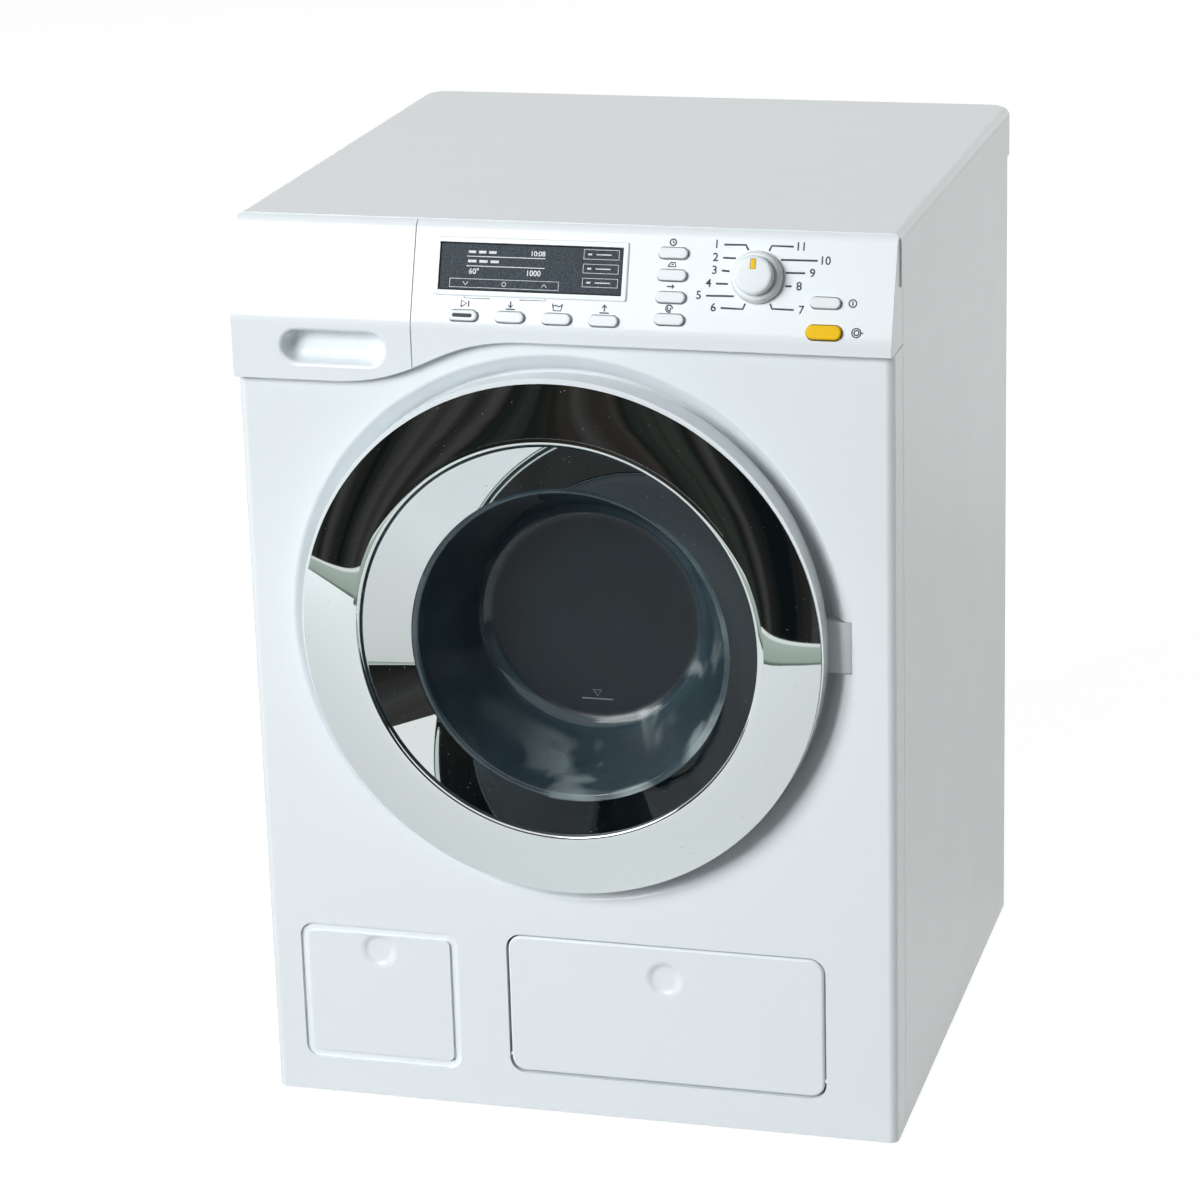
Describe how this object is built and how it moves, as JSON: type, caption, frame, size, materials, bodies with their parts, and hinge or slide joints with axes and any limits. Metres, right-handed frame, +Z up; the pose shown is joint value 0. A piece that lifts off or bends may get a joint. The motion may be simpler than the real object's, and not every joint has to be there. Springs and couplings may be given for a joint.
{
  "type": "toy front-loading washing machine",
  "caption": "White toy washing machine with a chrome-ringed porthole door, turning drum on a gear drive, pull-out drawer, push buttons, selector knob and a service flap.",
  "frame": {"origin": "on the floor, under the middle of the machine's bounding box", "axes": "+Z up, -Y towards the door, +X to the right of someone who faces the door"},
  "size_m": [0.185, 0.1938, 0.26],
  "materials": {
    "white": "gloss",
    "key": "gloss",
    "grey": "satin",
    "drawer_grey": "satin",
    "yellow": "gloss",
    "chrome": "mirror",
    "bowl": "gloss, clear",
    "screen": "gloss",
    "rubber": "matt",
    "silver": "satin silver",
    "steel": "brushed",
    "motor_case": "satin",
    "bronze": "satin",
    "nylon": "satin",
    "board": "satin",
    "cell": "satin wrap",
    "black": "matt"
  },
  "bodies": {
    "machine": {"cabinet_shell": "white", "top_lid": "white", "base_plate": "grey", "battery_cover": "grey", "foot_1": "rubber", "foot_2": "rubber", "foot_3": "rubber", "foot_4": "rubber", "front_panel": "white", "service_pocket": "drawer_grey", "door_catch": "grey", "hinge_pin": "steel", "battery_box": "grey", "battery_1": "cell", "battery_2": "cell", "battery_3": "cell", "door_gasket": "rubber", "tub_front": "grey", "tub_rear": "grey", "drum_bush": "bronze", "gearbox_plate": "grey", "idler_axle": "steel", "motor": "motor_case", "circuit_board": "board", "display_window": "screen", "control_panel": "white", "drawer_guide": "grey", "speaker": "black"},
    "door": {"door_frame": "white", "chrome_ring": "chrome", "door_bowl": "bowl", "latch_hook": "grey"},
    "drum": {"drum_front": "silver", "drum_shell": "silver", "drum_back": "silver", "drum_paddle_1": "grey", "drum_paddle_2": "grey", "drum_paddle_3": "grey", "drum_gear": "nylon", "drum_shaft": "steel"},
    "idler": {"idler_gear": "nylon"},
    "pinion": {"motor_pinion": "bronze"},
    "drawer": {"drawer_front": "white", "drawer_tray": "drawer_grey"},
    "flap": {"service_flap": "white"},
    "knob": {"knob_skirt": "key", "knob_cap": "key", "knob_pointer": "yellow"},
    "start_key": {"start_button": "key"},
    "water_in_key": {"water_in_button": "key"},
    "wash_key": {"wash_button": "key"},
    "water_out_key": {"water_out_button": "key"},
    "option_key_1": {"option_button_1": "key"},
    "option_key_2": {"option_button_2": "key"},
    "option_key_3": {"option_button_3": "key"},
    "option_key_4": {"option_button_4": "key"},
    "power_key": {"power_button": "key"},
    "door_key": {"door_button": "yellow"}
  },
  "joints": [
    {"name": "door_hinge", "type": "hinge", "parent": "machine", "child": "door", "pos_m": [0.0778, -0.08345, 0.147], "axis": [0, 0, 1], "range_deg": [0, 95]},
    {"name": "drum_spin", "type": "hinge", "parent": "machine", "child": "drum", "pos_m": [0, 0, 0.1418], "axis": [0, 1, 0], "continuous": true},
    {"name": "idler_spin", "type": "hinge", "parent": "machine", "child": "idler", "pos_m": [0.01928, 0.04, 0.11882], "axis": [0, 1, 0], "continuous": true},
    {"name": "pinion_spin", "type": "hinge", "parent": "machine", "child": "pinion", "pos_m": [0.04292, 0.05, 0.11465], "axis": [0, 1, 0], "continuous": true},
    {"name": "drawer_slide", "type": "slide", "parent": "machine", "child": "drawer", "axis": [0, -1, 0], "range_m": [0, 0.055]},
    {"name": "flap_hinge", "type": "hinge", "parent": "machine", "child": "flap", "pos_m": [0.02545, -0.08435, 0.0174], "axis": [1, 0, 0], "range_deg": [0, 90]},
    {"name": "knob_turn", "type": "hinge", "parent": "machine", "child": "knob", "pos_m": [0.055, -0.08316, 0.24823], "axis": [0, -0.9393, 0.3432], "continuous": true},
    {"name": "start_press", "type": "slide", "parent": "machine", "child": "start_key", "axis": [0, 0.9393, -0.3432], "range_m": [0, 0.0012], "stiffness_N_per_m": 300},
    {"name": "water_in_press", "type": "slide", "parent": "machine", "child": "water_in_key", "axis": [0, 0.9393, -0.3432], "range_m": [0, 0.0012], "stiffness_N_per_m": 300},
    {"name": "wash_press", "type": "slide", "parent": "machine", "child": "wash_key", "axis": [0, 0.9393, -0.3432], "range_m": [0, 0.0012], "stiffness_N_per_m": 300},
    {"name": "water_out_press", "type": "slide", "parent": "machine", "child": "water_out_key", "axis": [0, 0.9393, -0.3432], "range_m": [0, 0.0012], "stiffness_N_per_m": 300},
    {"name": "option_1_press", "type": "slide", "parent": "machine", "child": "option_key_1", "axis": [0, 0.9393, -0.3432], "range_m": [0, 0.0012], "stiffness_N_per_m": 300},
    {"name": "option_2_press", "type": "slide", "parent": "machine", "child": "option_key_2", "axis": [0, 0.9393, -0.3432], "range_m": [0, 0.0012], "stiffness_N_per_m": 300},
    {"name": "option_3_press", "type": "slide", "parent": "machine", "child": "option_key_3", "axis": [0, 0.9393, -0.3432], "range_m": [0, 0.0012], "stiffness_N_per_m": 300},
    {"name": "option_4_press", "type": "slide", "parent": "machine", "child": "option_key_4", "axis": [0, 0.9393, -0.3432], "range_m": [0, 0.0012], "stiffness_N_per_m": 300},
    {"name": "power_press", "type": "slide", "parent": "machine", "child": "power_key", "axis": [0, 0.9393, -0.3432], "range_m": [0, 0.0012], "stiffness_N_per_m": 300},
    {"name": "door_press", "type": "slide", "parent": "machine", "child": "door_key", "axis": [0, 0.9393, -0.3432], "range_m": [0, 0.0012], "stiffness_N_per_m": 300}
  ],
  "couplings": [
    {"joint": "idler_spin", "follows": "drum_spin", "ratio": -4},
    {"joint": "pinion_spin", "follows": "drum_spin", "ratio": 12}
  ]
}
